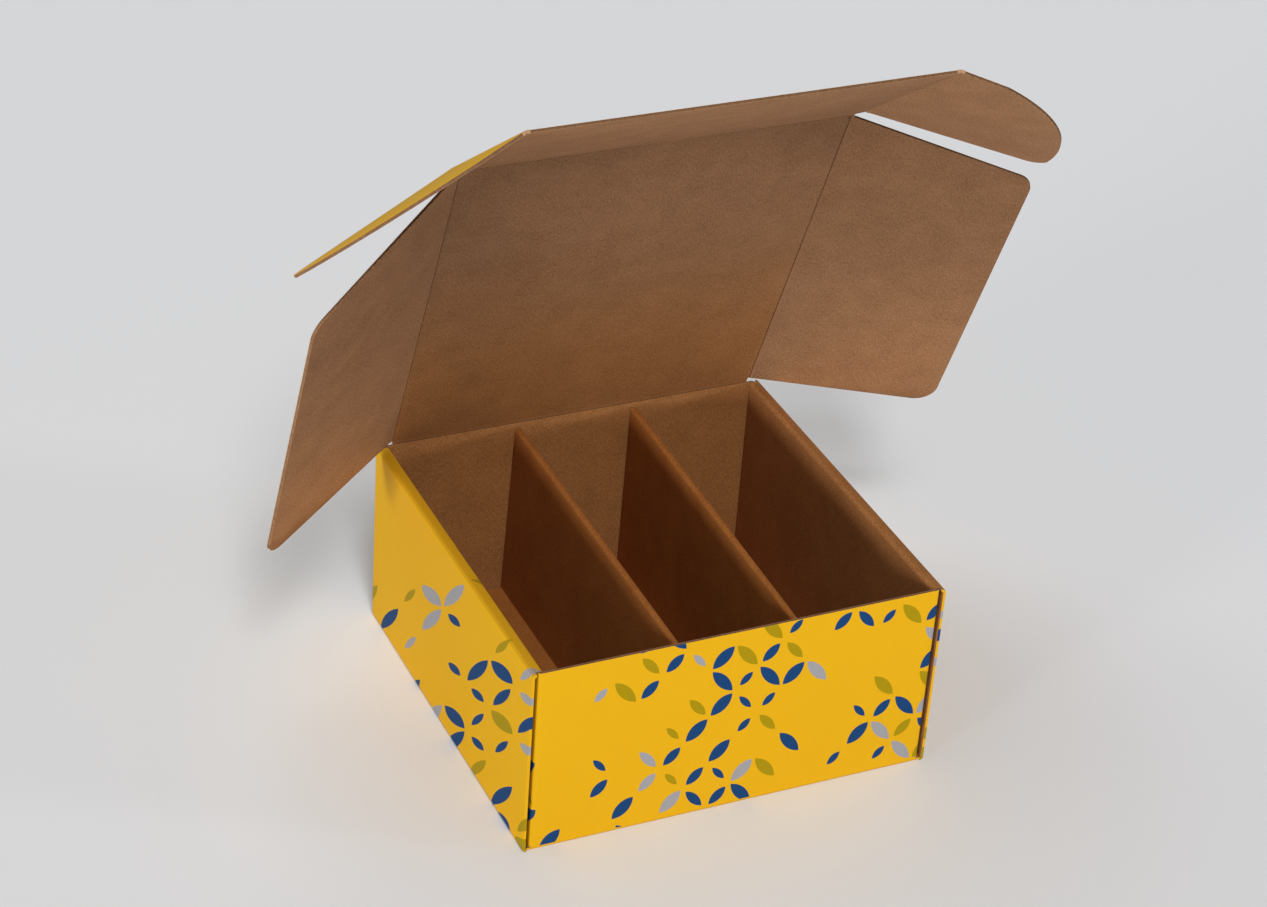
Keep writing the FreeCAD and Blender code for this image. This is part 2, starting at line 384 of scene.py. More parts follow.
class Card:
    """Mesh of one card piece, gathered face by face in millimetres."""

    def __init__(self, name):
        self.name = name
        self.mesh = bmesh.new()
        self.blank = self.mesh.loops.layers.uv.new("blank")
        self.leaves = self.mesh.loops.layers.uv.new("leaves")
        self.slots = []

    def point(self, column, t, lift):
        place, spot = column.at(t, lift)
        across, down, shift = ART[column.art]
        leaf = Vector((spot.x * across[0] + spot.y * across[1] + shift[0],
                       spot.x * down[0] + spot.y * down[1] + shift[1]))
        return self.mesh.verts.new(place * MM), spot * MM, leaf

    def face(self, corners, ink):
        if ink not in self.slots:
            self.slots.append(ink)
        made = self.mesh.faces.new([corner[0] for corner in corners])
        made.material_index = self.slots.index(ink)
        made.smooth = True
        for loop, corner in zip(made.loops, corners):
            loop[self.blank].uv, loop[self.leaves].uv = corner[1:]

    def liner(self, columns, side, ink=None, edge="cut"):
        """One liner as a closed sheet: side 1 is the printed one and -1 the bare one."""
        grid, under = [], []
        last = len(columns) - 1
        for k, column in enumerate(columns):
            band = column.share(EDGE_BAND, 0.3)
            tops = []
            for t, pressed in ((0, True), (band, k in (0, last)), (1 - band, k in (0, last)), (1, True)):
                lift = HALF - (EDGE_PRESS if pressed else 0.0)
                tops.append(self.point(column, t, side * lift))
            grid.append(tops)
            under.append([self.point(column, t, side * (HALF - LINER)) for t in (0, 1)])
        for k in range(last):
            here, there = grid[k], grid[k + 1]
            shade = ink or columns[k].ink
            for r in range(3):
                self.face([here[r], there[r], there[r + 1], here[r + 1]], shade)
            self.face([under[k][0], under[k][1], under[k + 1][1], under[k + 1][0]], "flute")
            self.face([here[0], under[k][0], under[k + 1][0], there[0]], edge)
            self.face([here[3], there[3], under[k + 1][1], under[k][1]], edge)
        for k in (0, last):
            self.face(grid[k] + [under[k][1], under[k][0]], edge)

    def board(self, columns, bare="kraft", closed=False):
        """Both liners and, set back from the cut ends, the core that closes the view between them."""
        edge = "print" if closed else "cut"
        self.liner(columns, 1, None, edge)
        self.liner(columns, -1, bare, edge)
        rows = []
        for column in columns:
            inset = 0.0 if closed else column.share(CORE_INSET, 0.4)
            rows.append([self.point(column, t, lift * (HALF - LINER)) for t, lift in
                         ((inset, 1), (1 - inset, 1), (1 - inset, -1), (inset, -1))])
        for here, there in zip(rows, rows[1:]):
            for i in range(4):
                j = (i + 1) % 4
                self.face([here[i], there[i], there[j], here[j]], "print" if closed and i % 2 else "flute")
        for row in (rows[0], rows[-1]):
            self.face(row, "print" if closed else "flute")

    def strip(self, columns):
        """The whole thickness as one closed strip, with a groove along the middle of its bare side whose
        middle is painted darker as painted shade.
        """
        rows = []
        middle = (columns[0].along + columns[-1].along) / 2
        for column in columns:
            dip = GROOVE_DEPTH * math.exp(-((column.along - middle) / GROOVE_WIDTH) ** 2)
            lifts = (HALF + CREASE_LAY, -HALF - CREASE_LAY + dip)
            rows.append([[self.point(column, t, lift) for t in (0, 1)] for lift in lifts])
        runs = [column.along - middle for column in columns]
        for (top, low), (next_top, next_low), a, b in zip(rows, rows[1:], runs, runs[1:]):
            # The groove's middle on the bare side takes the dark crease finish as painted shade
            inner = "crease" if abs(a + b) < GROOVE_SHADE else "kraft"
            self.face([top[0], next_top[0], next_top[1], top[1]], "print")
            self.face([low[0], low[1], next_low[1], next_low[0]], inner)
            self.face([top[0], low[0], next_low[0], next_top[0]], "cut")
            self.face([top[1], next_top[1], next_low[1], low[1]], "cut")
        for top, low in (rows[0], rows[-1]):
            self.face([top[0], top[1], low[1], low[0]], "cut")

    def build(self, angle=BOARD_SHARP):
        """The finished object, closed and facing outwards."""
        bmesh.ops.remove_doubles(self.mesh, verts=self.mesh.verts, dist=1e-7)
        bmesh.ops.recalc_face_normals(self.mesh, faces=self.mesh.faces)
        data = bpy.data.meshes.new(self.name)
        self.mesh.to_mesh(data)
        self.mesh.free()
        for ink in self.slots:
            data.materials.append(FINISHES[ink])
        data.set_sharp_from_angle(angle=math.radians(angle))
        made = bpy.data.objects.new(self.name, data)
        bpy.context.scene.collection.objects.link(made)
        return made


def corrugate_tree():
    """Geometry nodes that wave a flat bed of paper into flutes along its stored run."""
    tree = bpy.data.node_groups.new("corrugate", "GeometryNodeTree")
    sockets = tree.interface
    sockets.new_socket("Geometry", in_out="INPUT", socket_type="NodeSocketGeometry")
    for name in ("Flute Pitch", "Flute Height"):
        sockets.new_socket(name, in_out="INPUT", socket_type="NodeSocketFloat")
    sockets.new_socket("Paper", in_out="INPUT", socket_type="NodeSocketMaterial")
    sockets.new_socket("Geometry", in_out="OUTPUT", socket_type="NodeSocketGeometry")
    graph = Graph(tree, "")
    start = tree.nodes.new("NodeGroupInput")
    bed, pitch, height, paper = (Value(graph, start.outputs[i]) for i in range(4))
    along = graph.node("GeometryNodeInputNamedAttribute", {"data_type": "FLOAT"}, {"Name": "along"})
    rise = graph.node("GeometryNodeInputNamedAttribute", {"data_type": "FLOAT_VECTOR"}, {"Name": "rise"})
    turn = graph.node("ShaderNodeMath", {"operation": "DIVIDE"}, {0: along, 1: pitch})
    turn = graph.node("ShaderNodeMath", {"operation": "MULTIPLY"}, {0: turn, 1: 2 * math.pi})
    wave = graph.node("ShaderNodeMath", {"operation": "SINE"}, {0: turn})
    wave = graph.node("ShaderNodeMath", {"operation": "MULTIPLY"}, {0: wave, 1: height})
    offset = graph.node("ShaderNodeVectorMath", {"operation": "SCALE"}, {0: rise, 3: wave})
    moved = graph.node("GeometryNodeSetPosition", None, {"Geometry": bed, "Offset": offset})
    real = graph.node("GeometryNodeRealizeInstances", None, {"Geometry": moved})
    coated = graph.node("GeometryNodeSetMaterial", None, {"Geometry": real, "Material": paper})
    end = tree.nodes.new("NodeGroupOutput")
    graph.join(end.inputs[0], coated)
    return tree


CORRUGATE = corrugate_tree()


def flutes(name, sheets):
    """The fluted paper seen between the liners at the cut ends of several sheets, as one plain mesh."""
    points, faces, along, rise, spots = [], [], [], [], []
    for number in range(2 * len(sheets)):
        columns, far = sheets[number // 2], number % 2
        first = len(points)
        for column in columns:
            near, deep = (column.share(d, 0.45) for d in (FLUTE_INSET, CORE_INSET + FLUTE_OVERLAP))
            if far:
                near, deep = 1 - near, 1 - deep
            for t, lift in ((near, 1), (deep, 1), (deep, -1), (near, -1)):
                place, spot = column.at(t, lift * PAPER / 2)
                points.append(place * MM)
                along.append(column.along * MM)
                rise.append(column.outs[0].lerp(column.outs[1], t).normalized())
                spots.append(spot * MM)
        for k in range(len(columns) - 1):
            a, b = first + 4 * k, first + 4 * k + 4
            for i in range(4):
                j = (i + 1) % 4
                faces.append((a + i, a + j, b + j, b + i))
        for a, order in ((first, (0, 1, 2, 3)), (first + 4 * (len(columns) - 1), (3, 2, 1, 0))):
            faces.append(tuple(a + i for i in order))
    data = bpy.data.meshes.new(name + "_bed")
    data.from_pydata(points, [], faces)
    data.attributes.new("along", "FLOAT", "POINT").data.foreach_set("value", along)
    rises = [c for way in rise for c in way]
    data.attributes.new("rise", "FLOAT_VECTOR", "POINT").data.foreach_set("vector", rises)
    layer = data.uv_layers.new(name="blank")
    for loop in data.loops:
        layer.data[loop.index].uv = spots[loop.vertex_index]
    bed = bpy.data.objects.new(name + "_bed", data)
    bpy.context.scene.collection.objects.link(bed)
    modifier = bed.modifiers.new("corrugate", "NODES")
    modifier.node_group = CORRUGATE
    sockets = {item.name: item.identifier for item in CORRUGATE.interface.items_tree
               if item.in_out == "INPUT"}
    modifier[sockets["Flute Pitch"]] = FLUTE_PITCH / 1000
    modifier[sockets["Flute Height"]] = (HALF - LINER - PAPER / 2) / 1000
    modifier[sockets["Paper"]] = FINISHES["flute"]
    bpy.context.view_layer.update()
    shaped = bpy.data.meshes.new_from_object(bed.evaluated_get(bpy.context.evaluated_depsgraph_get()))
    shaped.name = name
    bpy.data.objects.remove(bed)
    mesh = bmesh.new()
    mesh.from_mesh(shaped)
    bmesh.ops.recalc_face_normals(mesh, faces=mesh.faces)
    for made in mesh.faces:
        made.smooth = True
    mesh.to_mesh(shaped)
    mesh.free()
    shaped.set_sharp_from_angle(angle=math.radians(FLUTE_SHARP))
    made = bpy.data.objects.new(name, shaped)
    bpy.context.scene.collection.objects.link(made)
    return made


def trace(start, steps, counts=None):
    """Points, printed-side normals and run along lines and arcs; an arc is (centre, radius, first, last)."""
    here, run, points, used = Vector(start), 0.0, [], []
    for number, step in enumerate(steps):
        if len(step) == 2:
            end = Vector(step)
            length = (end - here).length
            count = counts[number] if counts else max(1, math.ceil(length / STEP))
            way = (end - here).normalized()
            for i in range(count + 1):
                points.append((
                    here + way * length * i / count, (way.y, -way.x), run + length * i / count))
            here = end
        else:
            centre, radius, first, last = step
            length = radius * math.radians(abs(last - first))
            count = counts[number] if counts else max(6, math.ceil(length / STEP))
            sense = 1 if last > first else -1
            for i in range(count + 1):
                angle = math.radians(first + (last - first) * i / count)
                spoke = Vector((math.cos(angle), math.sin(angle)))
                points.append((
                    Vector(centre) + spoke * radius, tuple(spoke * sense), run + length * i / count))
            here = points[-1][0]
        run += length
        used.append(count)
    kept = [points[0]]
    for point in points[1:]:
        if (point[0] - kept[-1][0]).length > 1e-4:
            kept.append(point)
    return kept, used


def styled(columns, art):
    """The columns with the share of the leaf print that their panel carries."""
    for column in columns:
        column.art = art
    return columns


def sweep(path, lift, low, high, spot, ink=None):
    """Columns of a traced path drawn out from low to high along the flutes."""
    zero = Vector(lift(0, 0, 0))
    columns = []
    for place, out, run in path:
        columns.append(Column(
            lift(place.x, place.y, low), lift(place.x, place.y, high), Vector(lift(out[0], out[1], 0)) - zero,
            run, spot(run, low), spot(run, high), ink(run) if ink else "print"))
    return columns


def mirrored(columns):
    """The same columns on the left of the box."""
    flip = Vector((-1, 1, 1))
    return [Column(c.ends[0] * flip, c.ends[1] * flip, c.outs[0] * flip, c.along,
                   (-c.spots[0].x, c.spots[0].y), (-c.spots[1].x, c.spots[1].y), c.ink) for c in columns]


# Flat panels

def span(outline, x):
    """Lowest and highest y of a convex outline at x."""
    hits = []
    for (ax, ay), (bx, by) in zip(outline, outline[1:] + outline[:1]):
        if min(ax, bx) - 1e-9 <= x <= max(ax, bx) + 1e-9:
            if abs(bx - ax) < 1e-9:
                hits += [ay, by]
            else:
                hits.append(ay + (by - ay) * (x - ax) / (bx - ax))
    return min(hits), max(hits)


def panel(outline, frame_matrix, spot):
    """Columns of a flat convex panel, with its printed side towards its own -z."""
    closest, lowest = 0.02, 0.05
    low, high = min(p[0] for p in outline), max(p[0] for p in outline)
    places = {low, low + EDGE_BAND, high - EDGE_BAND, high}
    places |= {p[0] for p in outline if low < p[0] < high}
    places |= {low + STEP * i for i in range(1, int((high - low) / STEP))}
    out = frame_matrix.to_3x3() @ Vector((0, 0, -1))
    columns, before = [], None
    for x in sorted(places):
        if before is not None and x - before < closest and x != high:
            continue
        bottom, top = span(outline, x)
        if top - bottom < lowest:
            continue
        ends = [frame_matrix @ Vector((x, y, 0)) for y in (bottom, top)]
        columns.append(Column(ends[0], ends[1], out, x, spot(x, bottom), spot(x, top)))
        before = x
    return columns


def corner(before, at, after, radius, count=14):
    """Points of a rounded corner between two straight edges."""
    a, b = (Vector(before) - Vector(at)).normalized(), (Vector(after) - Vector(at)).normalized()
    half = a.angle(b) / 2
    centre = Vector(at) + (a + b).normalized() * radius / math.sin(half)
    start = Vector(at) + a * radius / math.tan(half) - centre
    end = Vector(at) + b * radius / math.tan(half) - centre
    sweep_angle = math.atan2(start.x * end.y - start.y * end.x, start.dot(end))
    return [tuple(centre + Matrix.Rotation(sweep_angle * i / count, 2) @ start) for i in range(count + 1)]


def circle_through(a, b, c):
    """Centre and radius of the circle through three points."""
    ax, ay, bx, by, cx, cy = *a, *b, *c
    aa, bb, cc = ax ** 2 + ay ** 2, bx ** 2 + by ** 2, cx ** 2 + cy ** 2
    d = 2 * (ax * (by - cy) + bx * (cy - ay) + cx * (ay - by))
    centre = Vector(((aa * (by - cy) + bb * (cy - ay) + cc * (ay - by)) / d,
                     (aa * (cx - bx) + bb * (ax - cx) + cc * (bx - ax)) / d))
    return centre, (centre - Vector(a)).length


def arc_points(centre, radius, first, last, count):
    angles = [math.radians(first + (last - first) * i / count) for i in range(count + 1)]
    return [(centre.x + radius * math.cos(a), centre.y + radius * math.sin(a)) for a in angles]


def ear_outline():
    """Ear from its crease outward: straight near edge, rounded tip, long arc and straight far edge."""
    start = (0, EAR_TOP)
    centre, radius = circle_through(EAR_TIP, EAR_BULGE, EAR_SHOULDER)
    way = (Vector(EAR_TIP) - Vector(start)).normalized()
    inward = Vector((-way.y, way.x))
    base = Vector(start) + inward * EAR_TIP_RADIUS - centre
    gap = base.dot(way) ** 2 - base.length_squared + (radius - EAR_TIP_RADIUS) ** 2
    hub = centre + base + way * (-base.dot(way) + math.sqrt(gap))
    enter = math.degrees(math.atan2(-inward.y, -inward.x))
    leave = math.degrees(math.atan2(hub.y - centre.y, hub.x - centre.x))
    last = math.degrees(math.atan2(EAR_SHOULDER[1] - centre.y, EAR_SHOULDER[0] - centre.x))
    tip = arc_points(hub, EAR_TIP_RADIUS, enter, leave, 14)
    return [start, *tip, *arc_points(centre, radius, leave, last, 48)[1:], (0, TUCK_HEIGHT)]


def flip(outline):
    return [(-x, y) for x, y in reversed(outline)]


def turned(base, axis, angle):
    return Matrix.Translation(Vector(base)) @ Matrix.Rotation(math.radians(angle), 4, Vector(axis))


LID = turned((0, HINGE[0], HINGE[1]), (1, 0, 0), 180 - LID_OPEN)
FRAMES = {
    "lid": LID,
    "left_dust_flap": LID @ turned((-LID_CREASE, 0, 0), (0, 1, 0), LEFT_FLAP),
    "right_dust_flap": LID @ turned((LID_CREASE, 0, 0), (0, -1, 0), RIGHT_FLAP),
    "tuck_flap": LID @ turned((0, LID_LENGTH, 0), (1, 0, 0), TUCK),
}
FRAMES["left_ear"] = FRAMES["tuck_flap"] @ turned((-EAR_CREASE, 0, 0), (0, 1, 0), EAR)
FRAMES["right_ear"] = FRAMES["tuck_flap"] @ turned((EAR_CREASE, 0, 0), (0, -1, 0), EAR)

lid_half = LID_CREASE - CREASE_EDGE
tuck_half = EAR_CREASE - CREASE_EDGE
flap_near, flap_far = (FLAP_WIDTH, FLAP_START), (FLAP_WIDTH, FLAP_FAR)
flap_outline = [
    (PANEL_START, FLAP_START),
    *corner((0, FLAP_START), flap_near, flap_far, FLAP_NEAR_CORNER),
    *corner(flap_near, flap_far, (0, FLAP_END), FLAP_FAR_CORNER),
    (PANEL_START, FLAP_END - PANEL_START * (FLAP_END - FLAP_FAR) / FLAP_WIDTH)]
ear = ear_outline()
ear_low, ear_high = span(ear, PANEL_START)
ear = [(PANEL_START, ear_low), *(p for p in ear if p[0] > PANEL_START), (PANEL_START, ear_high)]
shoulder_start = lid_half + (tuck_half - lid_half) * PANEL_START / TUCK_SHOULDER

OUTLINES = {
    "lid": [(-lid_half, PANEL_START), (lid_half, PANEL_START), (lid_half, LID_LENGTH - CREASE_EDGE),
            (-lid_half, LID_LENGTH - CREASE_EDGE)],
    "right_dust_flap": flap_outline,
    "left_dust_flap": flip(flap_outline),
    "tuck_flap": [(-shoulder_start, PANEL_START), (shoulder_start, PANEL_START),
                  (tuck_half, TUCK_SHOULDER), (tuck_half, TUCK_HEIGHT),
                  (-tuck_half, TUCK_HEIGHT), (-tuck_half, TUCK_SHOULDER)],
    "right_ear": ear,
    "left_ear": flip(ear),
}
SPOTS = {
    "lid": lambda x, y: (x, LID_START + y),
    "left_dust_flap": lambda x, y: (x - LID_CREASE, LID_START + y),
    "right_dust_flap": lambda x, y: (x + LID_CREASE, LID_START + y),
    "tuck_flap": lambda x, y: (x, TUCK_START + y),
    "left_ear": lambda x, y: (x - EAR_CREASE, TUCK_START + y),
    "right_ear": lambda x, y: (x + EAR_CREASE, TUCK_START + y),
}

for node, outline in OUTLINES.items():
    columns = panel(outline, FRAMES[node], SPOTS[node])
    card = Card(node + "_liners")
    card.board(columns)
    made = card.build()
    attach(made, node)
    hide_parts(node)
    inner = flutes(node + "_flutes", [columns])
    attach(inner, node)


# Creases that turn: one strip of pressed board across each, built at the joint's present angle

def plane_of(base, along_child, crease_way, bare=(0, 0, 1)):
    """Frame whose x runs from parent to child, y along the crease and z to the bare side."""
    m = Matrix((along_child, crease_way, bare)).transposed().to_4x4()
    return Matrix.Translation(Vector(base)) @ m


def crease(name, plane, angle, low, high, spot):
    """Strip across a crease at the plane's origin, its child's half turned by the angle to the bare side."""
    way = (math.cos(math.radians(angle)), math.sin(math.radians(angle)))
    back = FOLD_MID * math.tan(math.radians(angle) / 2)
    path, _ = trace((-CREASE_REACH, 0), [
        (-back, 0), ((-back, FOLD_MID), FOLD_MID, -90, -90 + angle),
        (way[0] * CREASE_REACH, way[1] * CREASE_REACH)], CREASE_STEPS)
    half = path[-1][2] / 2
    columns = []
    for place, out, run in path:
        ends = [plane @ Vector((place.x, t, place.y)) for t in (low, high)]
        lift = plane.to_3x3() @ Vector((out[0], 0, out[1]))
        columns.append(Column(ends[0], ends[1], lift, run, spot(run - half, low), spot(run - half, high)))
    card = Card(name)
    card.strip(columns)
    made = card.build(CREASE_SHARP)
    start = plane @ Vector((-BEND_REACH, 0, 0)) * MM
    end = plane @ Vector((way[0] * BEND_REACH, 0, way[1] * BEND_REACH)) * MM
    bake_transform(made)


TUCK_FLAP = FRAMES["tuck_flap"]
crease("lid_crease", plane_of((0, HINGE[0], HINGE[1]), (0, 0, 1), (1, 0, 0), (0, -1, 0)), 90 - LID_OPEN,
       -lid_half, lid_half, lambda s, t: (t, LID_START + s))
crease("right_dust_flap_crease", LID @ plane_of((LID_CREASE, 0, 0), (1, 0, 0), (0, 1, 0)), RIGHT_FLAP,
       FLAP_START, FLAP_END, lambda s, t: (LID_CREASE + s, LID_START + t))
crease("left_dust_flap_crease", LID @ plane_of((-LID_CREASE, 0, 0), (-1, 0, 0), (0, 1, 0)), LEFT_FLAP,
       FLAP_START, FLAP_END, lambda s, t: (-LID_CREASE - s, LID_START + t))
crease("tuck_flap_crease", LID @ plane_of((0, LID_LENGTH, 0), (0, 1, 0), (1, 0, 0)), TUCK,
       -lid_half, lid_half, lambda s, t: (t, TUCK_START + s))
crease("right_ear_crease", TUCK_FLAP @ plane_of((EAR_CREASE, 0, 0), (1, 0, 0), (0, 1, 0)), EAR,
       EAR_TOP, TUCK_HEIGHT, lambda s, t: (EAR_CREASE + s, TUCK_START + t))
crease("left_ear_crease", TUCK_FLAP @ plane_of((-EAR_CREASE, 0, 0), (-1, 0, 0), (0, 1, 0)), EAR,
       EAR_TOP, TUCK_HEIGHT, lambda s, t: (-EAR_CREASE - s, TUCK_START + t))


# Tray

def along_y(a, b, t):
    return (a, t, b)


def along_z(a, b, t):
    return (a, b, t)


side_mid = WIDTH / 2 - HALF
foot_x = WIDTH / 2 - FOLD_OUT
bend_x, bend_z = WIDTH / 2 - ROLL_OUT, HEIGHT - ROLL_OUT
inner_bend = INNER_X + ROLL_OUT
top_run = FOLD_RUN + bend_z - FOLD_OUT

# How far the print runs on past the rim's outer bend, and how far the thin print runs over the left rim
PRINT_OVER_BEND = 1.0
THIN_PRINT = 5.0

outer_path, _ = trace((foot_x, HALF), [
    ((foot_x, FOLD_OUT), FOLD_MID, -90, 0), (side_mid, bend_z), ((bend_x, bend_z), ROLL_MID, 0, 90)])
inner_path, _ = trace((bend_x, HEIGHT - HALF), [
    (inner_bend, HEIGHT - HALF), ((inner_bend, bend_z), ROLL_MID, 90, 180),
    (INNER_X + HALF, BOARD + EDGE_GAP)])
roll_run = outer_path[-1][2]


def side_ink(left):
    """Finish of the side wall's outer liner by its run up from the base."""
    def ink(run):
        if run < top_run + PRINT_OVER_BEND:
            return "print"
        return "rim_print" if left and run < roll_run + THIN_PRINT else "kraft"
    return ink


sides, side_flutes = Card("tray_side_walls"), []
for left in (False, True):
    outer = sweep(outer_path, along_y, -DEPTH / 2, DEPTH / 2, lambda s, t: (foot_x + s, t),
                  side_ink(left))
    inner = sweep(inner_path, along_y, -RIM_END, RIM_END, lambda s, t: (foot_x + roll_run + s, t),
                  lambda s: side_ink(left)(s + roll_run))
    tabs = []
    for y in TAB_YS:
        tab, _ = trace((INNER_X + HALF, BOARD + EDGE_GAP), [(INNER_X + HALF, EDGE_GAP)])
        tabs.append(sweep(tab, along_y, y - TAB_LENGTH / 2, y + TAB_LENGTH / 2,
                          lambda s, t: (foot_x + s, t), lambda s: "kraft"))
    for number, columns in enumerate([outer, inner] + tabs):
        columns = styled(mirrored(columns) if left else columns, "left" if left else "right")
        sides.board(columns, closed=number == 0)
        if number:
            side_flutes.append(columns)

ends, end_flutes = Card("tray_end_walls"), []
centre = (POCKET_X - FOLD_OUT, DEPTH / 2 - FOLD_OUT)
wall_path, _ = trace((-POCKET_X + HALF, -centre[1]), [
    ((-centre[0], -centre[1]), FOLD_MID, 180, 270), (centre[0], -DEPTH / 2 + HALF),
    ((centre[0], -centre[1]), FOLD_MID, 270, 360)])
flap_path, _ = trace((POCKET_X - HALF, -centre[1]), [(POCKET_X - HALF, CORNER_FLAP - DEPTH / 2)])
wall_half = wall_path[-1][2] / 2
flip_y = Vector((1, -1, 1))
for back in (False, True):
    top = HINGE[1] - CREASE_EDGE if back else HEIGHT
    runs = [sweep(wall_path, along_z, FOLD_OUT, top, lambda s, t: (s - wall_half, -WALL_START - t))]
    flap = sweep(flap_path, along_z, FOLD_OUT + EDGE_GAP, CORNER_FLAP_TOP,
                 lambda s, t: (s + wall_half, -WALL_START - t))
    runs += [flap, mirrored(flap)]
    for columns in runs:
        if back:
            columns = [Column(
                c.ends[0] * flip_y, c.ends[1] * flip_y, c.outs[0] * flip_y, c.along,
                (c.spots[0].x, -c.spots[0].y), (c.spots[1].x, -c.spots[1].y)) for c in columns]
        ends.board(styled(columns, "back" if back else "front"))
        end_flutes.append(columns)

base = Card("tray_base")
slot_ends = [edge for y in TAB_YS for edge in
             (y - TAB_LENGTH / 2 - EDGE_GAP, y + TAB_LENGTH / 2 + EDGE_GAP)]
cuts = [-DEPTH / 2, *slot_ends, DEPTH / 2]
slot_in, slot_out = INNER_X - EDGE_GAP, INNER_X + BOARD + EDGE_GAP
fold_y = DEPTH / 2 - FOLD_OUT


def base_run(low, high):
    """Path of the base from one cut to the next, with the end folds where it reaches them."""
    steps = []
    start = (low, HALF)
    if low < -fold_y:
        start = (-DEPTH / 2 + HALF, FOLD_OUT)
        steps.append(((-fold_y, FOLD_OUT), FOLD_MID, 180, 270))
    steps.append((min(high, fold_y), HALF))
    if high > fold_y:
        steps.append(((fold_y, FOLD_OUT), FOLD_MID, 270, 360))
    return trace(start, steps)[0]


def along_x(a, b, t):
    return (t, a, b)


def base_strip(low_y, high_y, low_x, high_x):
    path = base_run(low_y, high_y)
    shift = -DEPTH / 2 + FOLD_OUT - FOLD_RUN if low_y < -fold_y else low_y
    columns = sweep(path, along_x, low_x, high_x, lambda s, t: (t, shift + s))
    base.board(columns)


base_strip(-DEPTH / 2, DEPTH / 2, -slot_in, slot_in)
for low_x, high_x in ((-foot_x, -slot_out), (slot_out, foot_x)):
    base_strip(-DEPTH / 2, DEPTH / 2, low_x, high_x)
for low_x, high_x in ((-slot_out, -slot_in), (slot_in, slot_out)):
    for low_y, high_y in zip(cuts[0::2], cuts[1::2]):
        base_strip(low_y, high_y, low_x, high_x)

for card in (sides, ends, base):
    made = card.build()
    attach(made, "tray")
    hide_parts("tray")
for name, sheets in (("tray_side_flutes", side_flutes), ("tray_end_flutes", end_flutes)):
    made = flutes(name, sheets)
    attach(made, "tray")


# Divider insert: one sheet folded up into two doubled walls

INSERT_X, INSERT_Y = 154.2, 154.3
FOOT_GAP, PLY_GAP = 3.2, 0.4
TOP_DROP = 2.6

# Where both walls stand on the floor, and where their tops are at the front and at the back
FEET, FRONT_TOPS, BACK_TOPS = (-52.0, 51.0), (-51.2, 43.6), (-47.6, 51.8)
WALL_TOP = HEIGHT - TOP_DROP - BOARD - PLY_GAP / 2
FOOT_Z = BOARD + FOLD_OUT

# Depth of the painted highlight band along the folded tops, and the run taken as the flat sheet's middle
TOP_HIGHLIGHT = 1
SHEET_MIDDLE = 460


def insert_path(tops, counts=None):
    """Path of the insert across the box, up and down both walls, with their tops at the given places."""
    steps = []
    for foot, top in zip(FEET, tops):
        left, right = foot - FOOT_GAP / 2, foot + FOOT_GAP / 2
        fold = PLY_GAP / 2 + HALF
        steps += [(left - FOLD_OUT, BOARD + HALF), ((left - FOLD_OUT, FOOT_Z), FOLD_MID, -90, 0),
                  (top - fold, WALL_TOP), ((top, WALL_TOP), fold, 180, 0), (right + HALF, FOOT_Z),
                  ((right + FOLD_OUT, FOOT_Z), FOLD_MID, 180, 270)]
    return trace((-INSERT_X, BOARD + HALF), steps + [(INSERT_X, BOARD + HALF)], counts)


front_path, counts = insert_path(FRONT_TOPS)
back_path, _ = insert_path(BACK_TOPS, counts)
insert_columns = []
# The insert's floor and folded tops take the lighter fold kraft as painted light on the floor and a painted
# highlight along the tops; the walls keep the darker insert kraft
for (a, out_a, run), (b, out_b, _) in zip(front_path, back_path):
    insert_columns.append(Column(
        (a.x, -INSERT_Y, a.y), (b.x, INSERT_Y, b.y), (out_a[0], 0, out_a[1]), run,
        (run - SHEET_MIDDLE, -INSERT_Y), (run - SHEET_MIDDLE, INSERT_Y),
        "insert" if FOOT_Z < a.y < WALL_TOP - TOP_HIGHLIGHT else "fold", (out_b[0], 0, out_b[1])))
card = Card("insert_liners")
card.board(insert_columns, "insert")
made = card.build()
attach(made, "tray")
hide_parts("divider_insert")
made = flutes("insert_flutes", [insert_columns])
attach(made, "tray")


# Floor, light and camera

FLOOR_SIZE = 12.0
FLOOR_TONES = "F0F1F3", "ECEDF0"
FLOOR_ROUGH, FLOOR_SHINE = 0.9, 0.2

# Distant lamps: bearing from the front towards the right, elevation and softness in degrees, and strength
LAMPS = {
    "key_lamp": (-15, 42, 12, 0.82),
    "high_lamp": (-12, 57, 12, 0.84),
    "left_lamp": (-66, 4, 12, 1.32),
    "right_lamp": (60, 6, 8, 0.8),
    "back_lamp": (-160, 62, 50, 0.55),
}

# Strength of the even fill on the box, and the tone behind it
FILL = 0.16
BACKDROP = "DCDDE0"

# Camera at the photo's angle: place in metres, ways to the right and up, lens and sensor in millimetres
CAMERA_PLACE = (-0.89582, -1.76987, 1.44977)
CAMERA_RIGHT, CAMERA_UP = (0.9114, -0.40674, 0.06261), (0.16769, 0.50599, 0.84608)
LENS, SENSOR = 89.2, 36.0


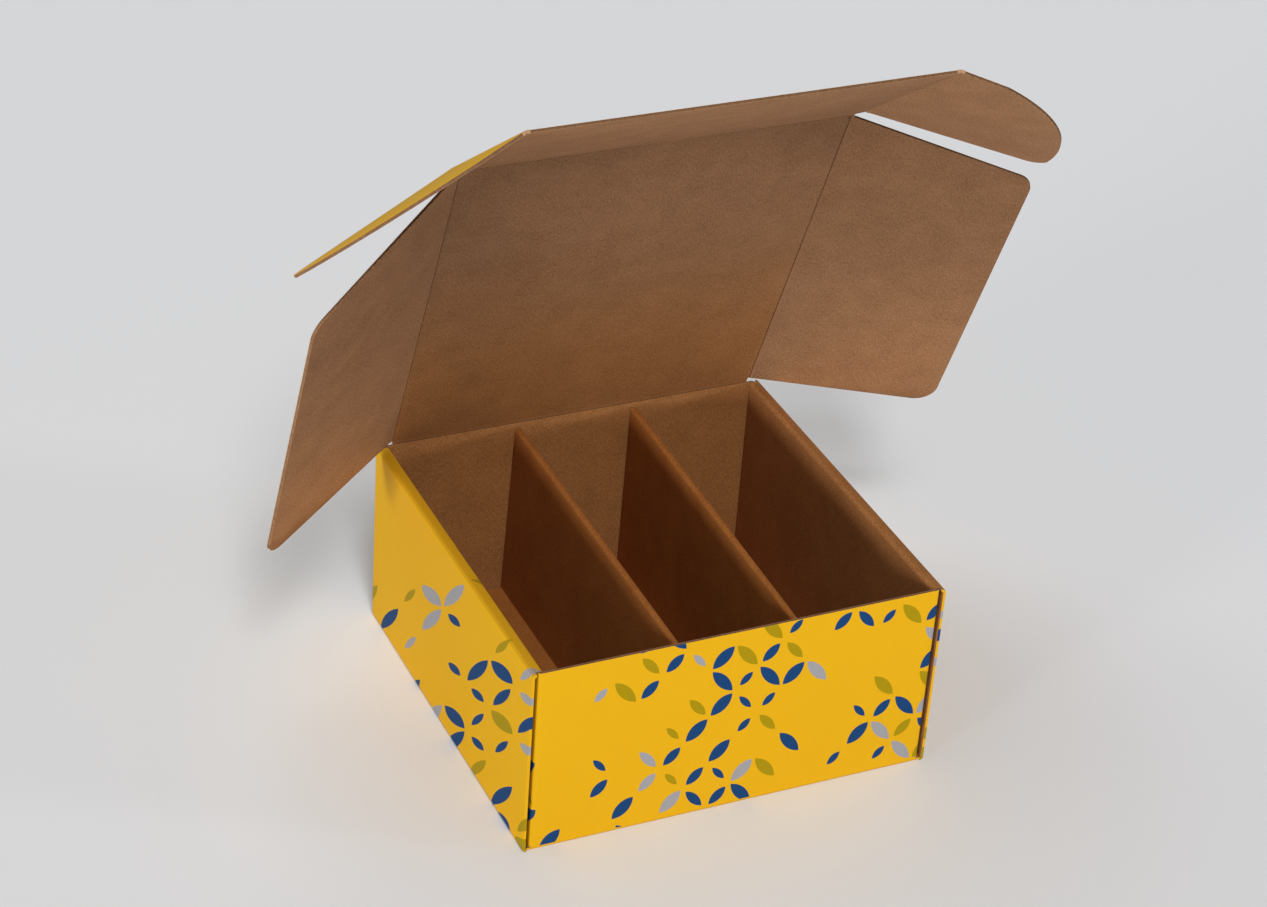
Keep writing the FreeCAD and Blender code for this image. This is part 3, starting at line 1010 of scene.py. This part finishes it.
def stage_floor():
    """Plain pale floor under the box."""
    mesh = bmesh.new()
    rows = []
    for y in (-FLOOR_SIZE, 0.0, FLOOR_SIZE):
        rows.append([mesh.verts.new((x, y, 0.0)) for x in (-FLOOR_SIZE, 0.0, FLOOR_SIZE)])
    for a, b in zip(rows, rows[1:]):
        for i in (0, 1):
            mesh.faces.new((a[i], a[i + 1], b[i + 1], b[i]))
    data = bpy.data.meshes.new("studio_floor")
    mesh.to_mesh(data)
    mesh.free()
    material, graph = new_finish("pale_floor")
    cloud = graph.noise(graph.node("TexCoord", None, None, out=OWN_PLACE), 3.0, 2.0)
    surface = graph.node("BsdfPrincipled", None, {
        "Base Color": graph.mix(cloud * 0.3, *(colour(tone) for tone in FLOOR_TONES)),
        "Roughness": FLOOR_ROUGH, "Specular IOR Level": FLOOR_SHINE})
    graph.node("OutputMaterial", None, {"Surface": surface})
    data.materials.append(material)
    floor = bpy.data.objects.new("studio_floor", data)
    bpy.context.scene.collection.objects.link(floor)


def lamp(name, turn, height, softness, strength):
    light = bpy.data.lights.new(name, "SUN")
    light.angle, light.energy = math.radians(softness), strength
    made = bpy.data.objects.new(name, light)
    away, level = math.radians(turn), math.cos(math.radians(height))
    way = Vector((math.sin(away) * level, -math.cos(away) * level, math.sin(math.radians(height))))
    made.rotation_euler = way.to_track_quat("Z", "Y").to_euler()
    bpy.context.scene.collection.objects.link(made)


def sky():
    """Faint even fill on the box, and a pale backdrop where the camera looks past it."""
    world = bpy.data.worlds.new("studio")
    bpy.context.scene.world = world
    world.use_nodes = True
    world.node_tree.nodes.clear()
    graph = Graph(world.node_tree, "ShaderNode")
    seen = graph.node("LightPath")
    soft = graph.node("Background", None, {"Color": colour("FFFFFF"), "Strength": FILL})
    pale = graph.node("Background", None, {"Color": colour(BACKDROP), "Strength": 1.0})
    graph.node("OutputWorld", None, {"Surface": graph.node("MixShader", None, {0: seen, 1: soft, 2: pale})})


def camera():
    data = bpy.data.cameras.new("camera")
    data.sensor_width, data.lens, data.clip_end = SENSOR, LENS, 50.0
    right, up = Vector(CAMERA_RIGHT).normalized(), Vector(CAMERA_UP)
    up = (up - right * up.dot(right)).normalized()
    made = bpy.data.objects.new("camera", data)
    turn = Matrix((right, up, right.cross(up))).transposed().to_4x4()
    made.matrix_world = Matrix.Translation(CAMERA_PLACE) @ turn
    bpy.context.scene.collection.objects.link(made)
    bpy.context.scene.camera = made


stage_floor()
for name, values in LAMPS.items():
    lamp(name, *values)
sky()
camera()
bpy.context.scene.view_settings.view_transform = "Standard"
